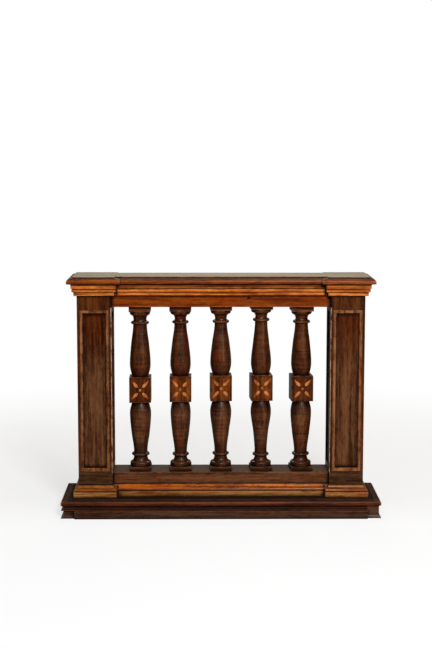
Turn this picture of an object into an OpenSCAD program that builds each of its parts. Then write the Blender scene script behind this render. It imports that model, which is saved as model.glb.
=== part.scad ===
// Wooden balustrade: two panelled posts carry a moulded top rail over a base rail,
// five turned balusters with inlaid blocks stand between them, and everything stands
// on one moulded plinth. The front looks along -Y, X runs along the rail, and the
// origin lies on the floor under the middle of the plinth.

/* [Overall] */
// Height from the floor to the top of the cap boards
overall_h = 880; // [780:5:1100]
// Distance between the centre lines of the two posts
post_spacing = 922; // [800:1:1400]

/* [Posts] */
// Width of a post across its front face
post_w = 125; // [100:1:180]
// Depth of a post from front to back
post_d = 168; // [140:1:220]
// Width of the plain stile beside a sunk panel
stile_w = 10; // [6:0.5:20]
// Depth of the sunk panels below the faces of the post
panel_sunk = 6; // [3:0.5:10]
// Gap in height between the base rail and the foot of a panel
panel_low_gap = 8; // [4:0.5:30]
// Gap in height between the head of a panel and the top rail
panel_high_gap = 9.5; // [6:0.5:40]

/* [Panel beads] */
// Width of the bead that frames a panel
bead_w = 10.5; // [6:0.5:16]
// Width of the bead along the foot of a panel
bead_foot_w = 13; // [6:0.5:20]
// Height of the bead's crown over the face of the post
bead_crown = 1; // [0.5:0.5:3]

/* [Base moulding] */
// How far the base block stands out from posts and rail
base_proud = 18; // [12:0.5:26]
// Height of the square block at the foot of the base moulding
base_block_h = 20.5; // [14:0.5:34]
// Height of the ogee above that block
base_ogee_h = 24.5; // [16:0.5:34]
// Width of the small ledge that ends the ogee
base_lip = 1.5; // [1:0.5:3]

/* [Cap moulding] */
// How far the lowest fillet stands out
cap_fillet_proud = 10.5; // [7:0.5:12]
// Height of the lowest fillet
cap_fillet_h = 9.5; // [6:0.5:16]
// How far the middle bead stands out
cap_bead_proud = 17; // [14:0.5:18]
// Height of the cove under the bead
cap_cove_h = 5.5; // [4:0.5:14]
// Height of the middle bead
cap_bead_h = 9.5; // [4:0.5:14]
// How far the upper band stands out
cap_band_proud = 20; // [18.5:0.5:24]
// Height of the upper band
cap_band_h = 15.5; // [8:0.5:24]
// Width and height of the grooves between the members
groove = 2.5; // [1:0.5:3.5]

/* [Cap boards] */
// Thickness of the cap boards
cap_board_h = 27; // [22:0.5:40]
// How far the nosing stands out from posts and rail
nosing_proud = 35; // [28:0.5:44]
// Distance from a post's face to the arris of the top surface
cap_arris_proud = 15; // [8:0.5:17]

/* [Rails] */
// Depth of both rails from front to back
rail_d = 126; // [100:1:132]
// Height of the base rail over the plinth
base_rail_h = 87; // [76:0.5:140]
// Height of the plain face under the top rail's moulding
rail_face_h = 43.5; // [20:0.5:80]

/* [Balusters] */
// Side of the square stock of the balusters
stock = 80; // [78:0.5:90]
// Distance from a post's inner face to the centre of the nearest baluster
end_gap = 100.5; // [80:0.5:140]
// Thickness of the square plate at a baluster's foot
foot_plate_h = 14; // [8:0.5:24]
// Thickness of the square plate at a baluster's head
head_plate_h = 18; // [8:0.5:26]
// Height of the inlaid block
block_h = 95; // [80:1:110]
// Radius of the round foot above the plate
torus_r = 39; // [38.5:0.5:39]
// Height of the round foot
torus_h = 16; // [10:0.5:20]
// Height of the hollow above the round foot
hollow_h = 21.5; // [10:0.5:30]
// Height of each ring
ring_h = 12; // [6:0.5:16]
// How far each ring stands out from its neck
ring_proud = 8; // [3:0.5:12]
// Height of the flare under the head plate
flare_h = 31; // [20:0.5:40]
// Radius of the flare under the head plate
flare_r = 38; // [34:0.5:38.5]
// Radius of the necks beside the rings
neck_r = 23; // [18:0.5:26]
// Radius halfway along a vase
waist_r = 31.5; // [27:0.5:34]
// Radius of the bellies
belly_r = 38.5; // [36:0.5:39]
// Distance from the inlaid block to the widest part of a belly
belly_gap = 44; // [30:1:60]
// Radius where a belly meets the inlaid block
shoulder_r = 30; // [24:0.5:34]

/* [Inlay] */
// Thickness of the inlaid pieces
inlay_t = 2; // [1:0.5:4]
// Length of a petal
petal_l = 33; // [26:0.5:36]
// Greatest width of a petal
petal_w = 12; // [8:0.5:14]
// Distance from the centre of the block to the inner end of a petal
petal_start = 14; // [13:0.5:16]
// Angle of a petal over the level
petal_angle = 48; // [44:1:52]
// Side of the small square in the middle
inlay_square = 11; // [6:0.5:14]

/* [Plinth] */
// How far the plinth's nosing runs past the outer sides of the posts
plinth_past_ends = 61.5; // [45:0.5:200]
// How far the plinth's nosing stands out in front of and behind the posts
plinth_past_faces = 64; // [50:0.5:120]
// Height of the platform that everything stands on
plinth_h = 66; // [64:0.5:110]
// Height of the platform over the nosing around it
platform_step = 3.5; // [2:0.5:6]
// Width of the small bead along the platform's edge
platform_bead = 4.5; // [3:0.5:8]
// Width and depth of the groove behind that bead
platform_groove = 2.5; // [1.5:0.5:4]
// Width of the nosing strips
strip_w = 23; // [20:0.5:30]
// Thickness of the nosing strips
strip_h = 18; // [15:0.5:21]
// Distance from the nosing's edge to the moulding below it
strip_over = 7.5; // [5:0.5:10]
// Depth of the hollows in the plinth moulding
plinth_cove = 4; // [2:0.5:6]
// Height of the lips in the plinth moulding
plinth_lip_h = 3; // [2:0.5:4]
// Height of the flat skirt boards
skirt_h = 29; // [20:0.5:32]
// Thickness of the flat skirt boards
skirt_t = 20; // [12:0.5:26]
// How far the skirt boards stand out past the nosing
skirt_proud = 10; // [0:0.5:14]
// Length of the moulding that shows beside each end of a skirt board
corner_w = 50; // [34:1:80]

/* [Hidden] */
$fn = 64;
curve_steps = 6;
vase_steps = 7;
sides = [-1, 1];
side_names = ["left", "right"];

// Each baluster was turned and set by hand, so each differs a little from the common
// sizes: lower neck, waist and belly, upper neck, waist and belly, and the heights of
// the lower hollow, the head plate and the flare.
lathe_play = [
    [2, 2.5, 1, 2.5, 2, 0, 0, 3.5, 0.5],
    [0, 0.5, -1, -0.5, 0, -0.5, -1, 1.5, 0],
    [0, -0.5, 1, 0, 1, 0.5, 1.5, -1.5, 1],
    [-0.5, -3.5, -0.5, 0, -1.5, -1, -1.5, -4.5, -2.5],
    [1, 1, 0, 1, 0.5, -1, 0, 1.5, -1.5],
];
// How far each inlaid block sits over or under the middle, and each baluster's twist
block_lift = [-4, -1, 2, 3, 1];
twist = [0.5, 0, 1.5, 3.5, 4.5];
baluster_count = len(twist);

// Small steps of the turning: the round foot draws in at its foot and over its crown,
// a short neck follows each ring, the flare ends in a longer and thinner neck, and its
// knee lies off the middle. Each turning runs on inside the square stock beside it.
foot_in = 2;
crown_in = 3;
ring_neck = 2;
flare_neck = 5;
flare_in = 1.5;
flare_knee = 2;
run_in = 5;
// Small steps of the mouldings: the eased bead and nosing, and the setbacks of the lips
bead_ease = 1;
nosing_ease = 2;
nosing_ledge = 5;
strip_round = 7;
foot_set = 0.5;
crown_set = 1.5;

plinth_l = post_spacing + post_w + 2 * plinth_past_ends;
plinth_d = post_d + 2 * plinth_past_faces;
base_h = base_block_h + base_ogee_h;
cap_h = cap_fillet_h + cap_cove_h + cap_bead_h + groove + cap_band_h;
cap_board_z = overall_h - cap_board_h;
cap_z = cap_board_z - cap_h;
top_rail_z = cap_z - rail_face_h;
baluster_z = plinth_h + base_rail_h;
baluster_h = top_rail_z - baluster_z;
panel_z = baluster_z + panel_low_gap;
panel_h = top_rail_z - panel_high_gap - panel_z;
post_x = post_spacing / 2;
rail_half = post_x - post_w / 2;
baluster_pitch = 2 * (rail_half - end_gap) / (baluster_count - 1);
platform_l = plinth_l - 2 * strip_w;
platform_d = plinth_d - 2 * strip_w;
strip_z = plinth_h - platform_step - strip_h;
core_inset = strip_w + strip_over;
skirt_half = plinth_l / 2 - corner_w;
skirt_y = plinth_d / 2 + skirt_proud - skirt_t;

walnut = "#4a2a18";
warm_walnut = "#a8662f";
red_walnut = "#6d3a20";
boxwood = "#c98a52";

// ---- curves -------------------------------------------------------------------------

// Quarter curve from a to b that leaves a level and reaches b upright
function level_first(a, b) = [for (i = [1:curve_steps]) let(t = 90 * i / curve_steps)
    [a[0] + (b[0] - a[0]) * sin(t), a[1] + (b[1] - a[1]) * (1 - cos(t))]];

// Quarter curve from a to b that leaves a upright and reaches b level
function upright_first(a, b) = [for (i = [1:curve_steps]) let(t = 90 * i / curve_steps)
    [a[0] + (b[0] - a[0]) * (1 - cos(t)), a[1] + (b[1] - a[1]) * sin(t)]];

// Smooth curve through stations of [radius, height], with the slope given at each
function through(stations, slopes) = [for (k = [0:len(stations) - 2], i = [1:vase_steps])
    let(a = stations[k], b = stations[k + 1], h = b[1] - a[1], t = i / vase_steps)
    [a[0] * (1 + 2 * t) * pow(1 - t, 2) + b[0] * t * t * (3 - 2 * t)
        + h * slopes[k] * t * pow(1 - t, 2) - h * slopes[k + 1] * t * t * (1 - t),
     a[1] + h * t]];

function mirrored(points) = [for (i = [len(points) - 1:-1:0]) [-points[i][0], points[i][1]]];
function raised(points, z) = [for (p = points) [p[0], p[1] + z]];
function pushed(points, x) = [for (p = points) [p[0] + x, p[1]]];
function reach(profile) = max([for (p = profile) p[0]]);

// ---- moulding profiles: [distance out from the face, height], from the foot up --------

function base_profile() =
    let(foot = [base_proud - groove / 2, base_block_h + groove],
        top = [base_lip, base_h - base_lip],
        middle = (foot + top) / 2)
    concat([[base_proud, 0], [base_proud, base_block_h], [foot[0] - groove / 2, base_block_h],
            [foot[0] - groove / 2, foot[1]], foot],
        upright_first(foot, middle),
        level_first(middle, top),
        [[base_lip, base_h]]);

function cap_profile() =
    let(cove_z = cap_fillet_h,
        bead_z = cove_z + cap_cove_h,
        groove_z = bead_z + cap_bead_h,
        band_z = groove_z + groove)
    concat([[cap_fillet_proud, 0], [cap_fillet_proud, cove_z]],
        upright_first([cap_fillet_proud, cove_z], [cap_bead_proud - bead_ease, bead_z]),
        level_first([cap_bead_proud - bead_ease, bead_z], [cap_bead_proud, bead_z + bead_ease]),
        [[cap_bead_proud, groove_z], [cap_bead_proud - groove, groove_z],
         [cap_bead_proud - groove, band_z], [cap_band_proud, band_z],
         [cap_band_proud, cap_h]]);

function nosing_profile() =
    let(round_h = cap_board_h / 3,
        eased = nosing_proud - nosing_ease,
        fillet_z = cap_board_h - nosing_ledge)
    concat([[cap_band_proud + nosing_ease, 0], [eased, nosing_ease]],
        level_first([eased, nosing_ease], [nosing_proud, round_h / 2]),
        [[nosing_proud, round_h]],
        upright_first([nosing_proud, round_h], [cap_arris_proud + nosing_ledge, fillet_z]),
        [[cap_arris_proud, fillet_z], [cap_arris_proud, cap_board_h]]);

// Plinth profiles give the distance in from the nosing's edge as a negative reach
function plinth_foot(top_z) =
    let(hollow = -strip_over - plinth_cove)
    concat([[-foot_set, 0], [-foot_set, plinth_lip_h]],
        level_first([-foot_set, plinth_lip_h], [hollow, top_z - plinth_lip_h]),
        [[hollow, top_z]]);

function plinth_crown(foot_z) =
    let(hollow = -strip_over - plinth_cove,
        cove_z = (foot_z + plinth_lip_h + strip_z) / 2)
    concat([[-crown_set, foot_z], [-crown_set, foot_z + plinth_lip_h]],
        level_first([-crown_set, foot_z + plinth_lip_h], [hollow, cove_z]),
        upright_first([hollow, cove_z], [-strip_over, cove_z + plinth_cove]),
        [[-strip_over, strip_z]]);

function double_profile() = concat(plinth_foot(skirt_h), plinth_crown(skirt_h));

function backed_profile() = concat(
    [[skirt_proud - skirt_t, 0], [skirt_proud - skirt_t, skirt_h]], plinth_crown(skirt_h));

function single_profile() = concat([[-foot_set, 0], [-foot_set, plinth_lip_h]],
    level_first([-foot_set, plinth_lip_h], [-strip_over, plinth_lip_h + 2 * strip_over]),
    [[-strip_over, strip_z]]);

function strip_profile() = concat([[-strip_round, 0]],
    level_first([-strip_round, 0], [0, strip_round]),
    [[0, strip_h - strip_round]],
    upright_first([0, strip_h - strip_round], [-strip_round, strip_h]));

// ---- shapes from profiles -----------------------------------------------------------

// A bar along X with the profile on its front and back
module bar_x(profile, half, length) {
    shape = pushed(profile, half);
    rotate([90, 0, 90])
        linear_extrude(length, center = true)
            polygon(concat(shape, mirrored(shape)));
}

// A bar along Y with the profile on its left and right
module bar_y(profile, half, length) {
    rotate([0, 0, 90])
        bar_x(profile, half, length);
}

// A block with the profile on all four sides, mitred at its corners
module moulded_block(profile, half_x, half_y) {
    spare = 2 * reach(profile) + 2;
    intersection() {
        bar_x(profile, half_y, 2 * half_x + spare);
        bar_y(profile, half_x, 2 * half_y + spare);
    }
}

// The front or back strip of the plinth's mitred nosing
module nosing_strip(half_l, half_d) {
    intersection() {
        bar_x(strip_profile(), half_d, 2 * half_l);
        translate([0, 0, -1])
            linear_extrude(strip_h + 2)
                polygon([[-half_l, -half_d], [half_l, -half_d],
                         [half_l - strip_w, strip_w - half_d],
                         [strip_w - half_l, strip_w - half_d]]);
    }
}

// The bead along one side of a panel's frame, mitred at both ends, crown up along Z
module bead_side(length, width, half_across, next_w) {
    crown = panel_sunk + bead_crown;
    section = concat([[0, 0], [width, 0], [width, panel_sunk]],
        [for (i = [1:2 * curve_steps - 1]) let(t = 90 * i / curve_steps)
            [width * (1 + cos(t)) / 2, panel_sunk + bead_crown * sin(t)]],
        [[0, panel_sunk]]);
    half_l = length / 2;
    intersection() {
        translate([0, -half_across, 0])
            rotate([90, 0, 90])
                linear_extrude(length, center = true)
                    polygon(section);
        translate([0, 0, -1])
            linear_extrude(crown + 2)
                polygon([[-half_l, -half_across], [half_l, -half_across],
                         [half_l - next_w, width - half_across],
                         [next_w - half_l, width - half_across]]);
    }
}

// A whole frame of beads, lying on XY with its crown up and its foot towards -Y
module bead_frame(width, height) {
    bead_side(width, bead_foot_w, height / 2, bead_w);
    rotate([0, 0, 180])
        bead_side(width, bead_w, height / 2, bead_w);
    for (s = sides)
        scale([s, 1, 1]) bead_upright(width, height);
}

module bead_upright(width, height) {
    half_w = width / 2;
    half_h = height / 2;
    intersection() {
        translate([half_w, 0, 0])
            rotate([90, 0, 0])
                linear_extrude(height, center = true)
                    polygon(concat([[-bead_w, 0], [0, 0], [0, panel_sunk]],
                        [for (i = [1:2 * curve_steps - 1]) let(t = 90 * i / curve_steps)
                            [bead_w * (cos(t) - 1) / 2, panel_sunk + bead_crown * sin(t)]],
                        [[-bead_w, panel_sunk]]));
        translate([0, 0, -1])
            linear_extrude(panel_sunk + bead_crown + 2)
                polygon([[half_w, -half_h], [half_w, half_h],
                         [half_w - bead_w, half_h - bead_w],
                         [half_w - bead_w, bead_foot_w - half_h]]);
    }
}

// Puts children, drawn flat with +Y up and +Z outwards, on each of a post's four faces
module on_post_faces(inwards = 0) {
    middle = panel_z + panel_h / 2;
    for (turn = [0, 180])
        rotate([0, 0, turn])
            translate([0, -post_d / 2 + inwards, middle])
                rotate([90, 0, 0]) children(0);
    for (turn = [90, 270])
        rotate([0, 0, turn])
            translate([0, -post_w / 2 + inwards, middle])
                rotate([90, 0, 0]) children(1);
}

module box_between(x, y, z) {
    translate([x[0], y[0], z[0]])
        cube([x[1] - x[0], y[1] - y[0], z[1] - z[0]]);
}

module post_solid(z0, z1) {
    box_between([-post_w / 2, post_w / 2], [-post_d / 2, post_d / 2], [z0, z1]);
}

// ---- plinth ---------------------------------------------------------------------------

module plinth_core() {
    half_l = plinth_l / 2 - core_inset;
    half_d = plinth_d / 2 - core_inset;
    color(walnut)
        box_between([-half_l, half_l], [-half_d, half_d], [0, strip_z]);
}

module platform_outline(inset) {
    square([platform_l - 2 * inset, platform_d - 2 * inset], center = true);
}

module plinth_platform() {
    color(red_walnut)
        difference() {
            box_between([-platform_l / 2, platform_l / 2], [-platform_d / 2, platform_d / 2],
                [strip_z, plinth_h]);
            translate([0, 0, plinth_h - platform_groove])
                linear_extrude(platform_groove + 1)
                    difference() {
                        platform_outline(platform_bead);
                        platform_outline(platform_bead + platform_groove);
                    }
        }
}

// The strips of the nosing: turn is 0 in front and goes round by quarter turns
module plinth_nosing(turn) {
    along = turn % 180 == 0;
    color(red_walnut)
        translate([0, 0, strip_z])
            rotate([0, 0, turn])
                nosing_strip((along ? plinth_l : plinth_d) / 2, (along ? plinth_d : plinth_l) / 2);
}

module plinth_ring(profile) {
    difference() {
        moulded_block(profile, plinth_l / 2, plinth_d / 2);
        translate([0, 0, -1])
            linear_extrude(strip_z + 2)
                square([plinth_l - 2 * core_inset, plinth_d - 2 * core_inset], center = true);
    }
}

// An end moulding with its short returns on the front and the back
module plinth_end_moulding(side) {
    color(red_walnut)
        intersection() {
            plinth_ring(side < 0 ? double_profile() : single_profile());
            translate([side * (skirt_half + plinth_l / 2), 0, strip_z / 2])
                cube([plinth_l, plinth_d * 2, plinth_h * 2], center = true);
        }
}

module plinth_long_moulding(turn) {
    color(red_walnut)
        rotate([0, 0, turn])
            intersection() {
                bar_x(backed_profile(), plinth_d / 2, 2 * skirt_half);
                box_between([-plinth_l, plinth_l], [-plinth_d, core_inset - plinth_d / 2],
                    [-1, plinth_h]);
            }
}

module plinth_skirt(turn) {
    color(walnut)
        rotate([0, 0, turn])
            box_between([-skirt_half, skirt_half], [-skirt_y - skirt_t, -skirt_y], [0, skirt_h]);
}

// ---- posts ------------------------------------------------------------------------------

module post_case(side) {
    color(walnut)
        translate([side * post_x, 0, 0])
            difference() {
                post_solid(plinth_h, cap_board_z);
                on_post_faces(panel_sunk) {
                    linear_extrude(panel_sunk + 1)
                        square([post_w - 2 * stile_w, panel_h], center = true);
                    linear_extrude(panel_sunk + 1)
                        square([post_d - 2 * stile_w, panel_h], center = true);
                }
            }
}

module post_beads(side) {
    color(warm_walnut)
        translate([side * post_x, 0, 0])
            on_post_faces(panel_sunk) {
                bead_frame(post_w - 2 * stile_w, panel_h);
                bead_frame(post_d - 2 * stile_w, panel_h);
            }
}

module post_base_block() {
    translate([0, 0, plinth_h])
        moulded_block(base_profile(), post_w / 2, post_d / 2);
}

module post_cap_block() {
    translate([0, 0, cap_z])
        moulded_block(cap_profile(), post_w / 2, post_d / 2);
}

module post_board_block() {
    translate([0, 0, cap_board_z])
        moulded_block(nosing_profile(), post_w / 2, post_d / 2);
}

module post_base(side) {
    color(warm_walnut)
        translate([side * post_x, 0, 0])
            difference() {
                post_base_block();
                post_solid(plinth_h - 1, plinth_h + base_h + 1);
            }
}

module post_cap(side) {
    color(warm_walnut)
        translate([side * post_x, 0, 0])
            difference() {
                post_cap_block();
                post_solid(cap_z - 1, cap_board_z + 1);
            }
}

module cap_board_end(side) {
    color(red_walnut)
        translate([side * post_x, 0, 0])
            post_board_block();
}

// Takes the blocks around both posts out of what is fitted between them
module fitted_between_posts() {
    difference() {
        children(0);
        for (s = sides)
            translate([s * post_x, 0, 0]) children(1);
    }
}

// ---- rails ------------------------------------------------------------------------------

module base_rail() {
    color(walnut)
        fitted_between_posts() {
            box_between([-rail_half, rail_half], [-rail_d / 2, rail_d / 2],
                [plinth_h, baluster_z]);
            post_base_block();
        }
}

module top_rail() {
    color(red_walnut)
        fitted_between_posts() {
            box_between([-rail_half, rail_half], [-rail_d / 2, rail_d / 2],
                [top_rail_z, cap_board_z]);
            post_cap_block();
        }
}

// The front half of a moulding that runs along a rail between the posts
module rail_front_moulding(profile, z, height) {
    intersection() {
        translate([0, 0, z])
            bar_x(profile, rail_d / 2, 2 * rail_half);
        box_between([-rail_half - 1, rail_half + 1], [-rail_d, -rail_d / 2], [z - 1, z + height + 1]);
    }
}

module base_rail_moulding(turn) {
    color(warm_walnut)
        rotate([0, 0, turn])
            fitted_between_posts() {
                rail_front_moulding(base_profile(), plinth_h, base_h);
                post_base_block();
            }
}

module top_rail_moulding(turn) {
    color(warm_walnut)
        rotate([0, 0, turn])
            fitted_between_posts() {
                rail_front_moulding(cap_profile(), cap_z, cap_h);
                post_cap_block();
            }
}

module cap_board_middle() {
    color(red_walnut)
        fitted_between_posts() {
            translate([0, 0, cap_board_z])
                bar_x(nosing_profile(), rail_d / 2, 2 * rail_half);
            post_board_block();
        }
}

// ---- balusters ------------------------------------------------------------------------

function ring_outline(neck, z) = [for (i = [0:2 * curve_steps]) let(t = 90 * i / curve_steps)
    [neck + ring_proud * sin(t), z + ring_h * (1 - cos(t)) / 2]];

// One half of the turning from its neck to the inlaid block, as [radius, height] over
// the plate it starts from; play holds the neck, waist and belly of this one
function vase_outline(neck_z, block_z, play) =
    let(neck = neck_r + play[0],
        belly_z = block_z - belly_gap,
        waist_z = (neck_z + belly_z) / 2,
        rise = (belly_r + play[2] - neck) / (belly_z - neck_z))
    concat([[neck, neck_z]],
        through([[neck, neck_z], [waist_r + play[1], waist_z], [belly_r + play[2], belly_z],
                 [shoulder_r, block_z]],
            [0, rise, 0, -3 * (belly_r - shoulder_r) / (2 * belly_gap)]));

function lower_outline(block_z, play, hollow_play) =
    let(neck = neck_r + play[0],
        foot = [torus_r - foot_in, 0],
        crown = [torus_r - crown_in, torus_h],
        ring_z = torus_h + hollow_h + hollow_play)
    concat([[0, -run_in], [foot[0], -run_in], foot],
        level_first(foot, [torus_r, torus_h / 2]),
        upright_first([torus_r, torus_h / 2], crown),
        level_first(crown, [neck, ring_z]),
        ring_outline(neck, ring_z),
        vase_outline(ring_z + ring_h + ring_neck, block_z, play),
        [[shoulder_r, block_z + run_in], [0, block_z + run_in]]);

function upper_outline(block_z, play, flare_play) =
    let(neck = neck_r + play[0],
        flare_end = flare_h + flare_play,
        knee = [(neck + flare_r) / 2 + flare_knee, flare_end / 2 - flare_knee],
        ring_z = flare_end + flare_neck)
    concat([[0, -run_in], [flare_r, -run_in], [flare_r, 0]],
        upright_first([flare_r, 0], knee),
        level_first(knee, [neck - flare_in, flare_end]),
        ring_outline(neck, ring_z),
        vase_outline(ring_z + ring_h + ring_neck, block_z, play),
        [[shoulder_r, block_z + run_in], [0, block_z + run_in]]);

function block_z(i) = baluster_z + (baluster_h - block_h) / 2 + block_lift[i];
function baluster_x(i) = baluster_pitch * (i - (baluster_count - 1) / 2);
function part_of(list, first) = [for (k = [0:2]) list[first + k]];

module stock_plate(z, height) {
    translate([-stock / 2, -stock / 2, z]) cube([stock, stock, height]);
}

// Puts children at a baluster's place, turned with it
module at_baluster(i) {
    translate([baluster_x(i), 0, 0])
        rotate([0, 0, twist[i]]) children();
}

module turned_stock(i) {
    play = lathe_play[i];
    plate_h = head_plate_h + play[7];
    foot_z = baluster_z + foot_plate_h;
    head_z = top_rail_z - plate_h;
    stock_plate(baluster_z, foot_plate_h);
    translate([0, 0, foot_z])
        rotate_extrude()
            polygon(lower_outline(block_z(i) - foot_z, part_of(play, 0), play[6]));
    stock_plate(block_z(i), block_h);
    translate([0, 0, head_z])
        mirror([0, 0, 1])
            rotate_extrude()
                polygon(upper_outline(head_z - block_z(i) - block_h, part_of(play, 3), play[8]));
    stock_plate(head_z, plate_h);
}

// Half the width of a petal at share t of its length, from its round inner end to its tip
function petal_half(t) = petal_w / 2 * sin(180 * pow(t, 0.6));

module petal() {
    steps = 2 * curve_steps;
    side = [for (i = [1:steps - 1]) [petal_l * i / steps, petal_half(i / steps)]];
    polygon(concat([[0, 0]], side, [[petal_l, 0]],
        [for (i = [steps - 2:-1:0]) [side[i][0], -side[i][1]]]));
}

// The inlaid star, drawn flat around the middle of a block's face
module inlay_star() {
    for (a = [petal_angle, 180 - petal_angle, 180 + petal_angle, -petal_angle])
        rotate([0, 0, a])
            translate([petal_start, 0]) petal();
    square(inlay_square, center = true);
}

// The inlay of both faces of one block; spare lengthens it outwards to cut its pockets
module inlay_pieces(i, spare) {
    for (turn = [0, 180])
        rotate([0, 0, turn])
            translate([0, inlay_t - stock / 2, block_z(i) + block_h / 2])
                rotate([90, 0, 0])
                    linear_extrude(inlay_t + spare) inlay_star();
}

module baluster(i) {
    color(walnut)
        at_baluster(i)
            difference() {
                turned_stock(i);
                inlay_pieces(i, 1);
            }
}

module baluster_inlay(i) {
    color(boxwood)
        at_baluster(i) inlay_pieces(i, 0);
}

// ---- the balustrade ---------------------------------------------------------------------

plinth_core();
plinth_platform();
for (k = [0:1]) {
    face = ["front", "back"][k];
    plinth_nosing(180 * k);
    plinth_long_moulding(180 * k);
    plinth_skirt(180 * k);
    base_rail_moulding(180 * k);
    top_rail_moulding(180 * k);
}
for (k = [0:1]) {
    side = side_names[k];
    plinth_nosing(270 - 180 * k);
    plinth_end_moulding(sides[k]);
    post_case(sides[k]);
    post_beads(sides[k]);
    post_base(sides[k]);
    post_cap(sides[k]);
    cap_board_end(sides[k]);
}
base_rail();
top_rail();
cap_board_middle();
for (i = [0:baluster_count - 1]) {
    baluster(i);
    baluster_inlay(i);
}
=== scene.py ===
"""Finishes the wooden balustrade: joinery with eased arrises, balusters turned on the
lathe, inlaid stars, polished walnut in many tones, and the studio it stands in."""

import math

import bmesh
import bpy
from bpy.props import FloatProperty, FloatVectorProperty, IntProperty, PointerProperty
from mathutils import Euler, Matrix, Vector


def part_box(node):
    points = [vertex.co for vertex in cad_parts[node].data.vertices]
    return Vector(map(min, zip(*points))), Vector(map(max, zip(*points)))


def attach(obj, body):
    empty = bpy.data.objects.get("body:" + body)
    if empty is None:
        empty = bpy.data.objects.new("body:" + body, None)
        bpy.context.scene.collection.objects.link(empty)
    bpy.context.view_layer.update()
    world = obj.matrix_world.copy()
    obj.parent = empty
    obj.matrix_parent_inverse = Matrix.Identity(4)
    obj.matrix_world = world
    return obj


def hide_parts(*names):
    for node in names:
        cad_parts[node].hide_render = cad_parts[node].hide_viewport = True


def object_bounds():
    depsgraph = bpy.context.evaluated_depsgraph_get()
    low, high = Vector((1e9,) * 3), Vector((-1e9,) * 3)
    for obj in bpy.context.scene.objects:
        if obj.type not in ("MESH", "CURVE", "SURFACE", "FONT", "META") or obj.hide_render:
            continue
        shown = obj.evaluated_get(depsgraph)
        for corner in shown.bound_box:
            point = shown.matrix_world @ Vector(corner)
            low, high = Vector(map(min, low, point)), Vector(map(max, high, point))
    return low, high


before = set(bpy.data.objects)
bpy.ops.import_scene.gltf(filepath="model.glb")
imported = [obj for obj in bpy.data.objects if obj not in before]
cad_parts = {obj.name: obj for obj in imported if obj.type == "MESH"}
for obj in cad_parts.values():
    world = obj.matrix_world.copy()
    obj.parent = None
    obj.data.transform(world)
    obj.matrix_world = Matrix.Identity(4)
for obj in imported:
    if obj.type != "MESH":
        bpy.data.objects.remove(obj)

bl_info = {
    "name": "Wooden balustrade",
    "version": (1, 0, 0),
    "blender": (4, 5, 0),
    "location": "3D View > Sidebar > Balustrade",
    "description": "Eases, turns, inlays and polishes the balustrade, and lights it",
    "category": "Object",
}

CAD_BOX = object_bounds()
BODY = "root"
SIDES = ("left", "right")
FACES = ("front", "back")
BALUSTERS = sorted(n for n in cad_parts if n.startswith("baluster_") and n[-1].isdigit())
# The attribute that says how near a point of a petal is to its tip
TIP = "tip"

# The finishes: what has each, and the deep tone of its grain lines and the pale tone of
# the ground between them
TONES = {
    "post": ("of the posts", (38, 12, 0), (94, 48, 20)),
    "post_foot": ("under the panels", (36, 18, 6), (90, 58, 34)),
    "post_head": ("over the panels", (40, 14, 2), (100, 53, 17)),
    "panel": ("of the panels", (42, 18, 6), (110, 70, 42)),
    "panel_top": ("high in the panels", (30, 4, 0), (90, 40, 6)),
    "bead": ("of the panel beads", (72, 34, 13), (150, 98, 61)),
    # Painted shade on both sides of a bead's crown
    "flank": ("beside the crown of a bead", (26, 6, 0), (72, 32, 10)),
    "turned": ("of the balusters", (46, 20, 8), (115, 71, 41)),
    "belly": ("over the blocks", (38, 15, 4), (99, 53, 23)),
    "ring": ("of the turned feet", (28, 10, 2), (76, 42, 20)),
    # Painted shade on the lower turnings just under the blocks
    "shoulder": ("under the blocks", (24, 8, 2), (70, 40, 18)),
    # A painted reflection of the white room on the blocks' sides
    "block_side": ("of the blocks' sides", (58, 34, 18), (116, 80, 52)),
    "plate": ("of the balusters' plates", (44, 22, 9), (108, 58, 31)),
    "block": ("of the inlaid blocks", (66, 26, 2), (140, 74, 26)),
    "outer_block": ("of the outer blocks", (52, 18, 2), (106, 52, 18)),
    "moulding": ("of the cap mouldings", (130, 54, 2), (232, 138, 60)),
    "upper_member": ("high in the rail's cap moulding", (85, 30, 0), (154, 80, 25)),
    "foot": ("of the base ogees", (94, 34, 0), (182, 94, 0)),
    "post_ogee": ("of the posts' ogees", (70, 30, 4), (141, 83, 14)),
    # Painted shade low in the ogees, where they are hollow
    "ogee_dip": ("low in the ogees", (66, 22, 0), (130, 62, 12)),
    "foot_block": ("under the ogees", (98, 56, 20), (168, 118, 66)),
    "post_block": ("under the posts' ogees", (112, 64, 24), (190, 133, 75)),
    "rail": ("of the top rail", (84, 26, 0), (140, 64, 4)),
    "base_rail": ("of the base rail", (52, 23, 9), (112, 70, 42)),
    "cap": ("of the cap boards", (80, 28, 0), (140, 67, 0)),
    "plinth": ("of the plinth", (52, 18, 4), (95, 47, 24)),
    "hollow": ("of the plinth's hollow", (36, 8, 2), (95, 31, 0)),
    "skirt": ("of the skirt boards", (44, 24, 12), (92, 62, 44)),
    "inlay": ("of the star", (150, 80, 36), (214, 138, 80)),
    "tip": ("at the petals' tips", (96, 40, 12), (146, 72, 30)),
}
def paint(red, green, blue):
    """A screen colour, given from 0 to 255, as the scene's linear numbers."""
    shares = [part / 255 for part in (red, green, blue)]
    return tuple(s / 12.92 if s <= 0.04045 else ((s + 0.055) / 1.055) ** 2.4 for s in shares)


def colour(name, description, tone):
    """A colour property that starts at a screen colour."""
    return FloatVectorProperty(
        name=name, description=description, default=paint(*tone), subtype="COLOR",
        size=3, min=0.0, max=1.0)


def length(name, description, metres, most):
    """A length property in metres."""
    return FloatProperty(
        name=name, description=description, default=metres, min=0.0, max=most,
        precision=5, unit="LENGTH")


def angle(name, description, degrees, least, most):
    """An angle property, given in degrees."""
    return FloatProperty(
        name=name, description=description, default=math.radians(degrees),
        min=math.radians(least), max=math.radians(most), subtype="ANGLE", unit="ROTATION")


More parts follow.
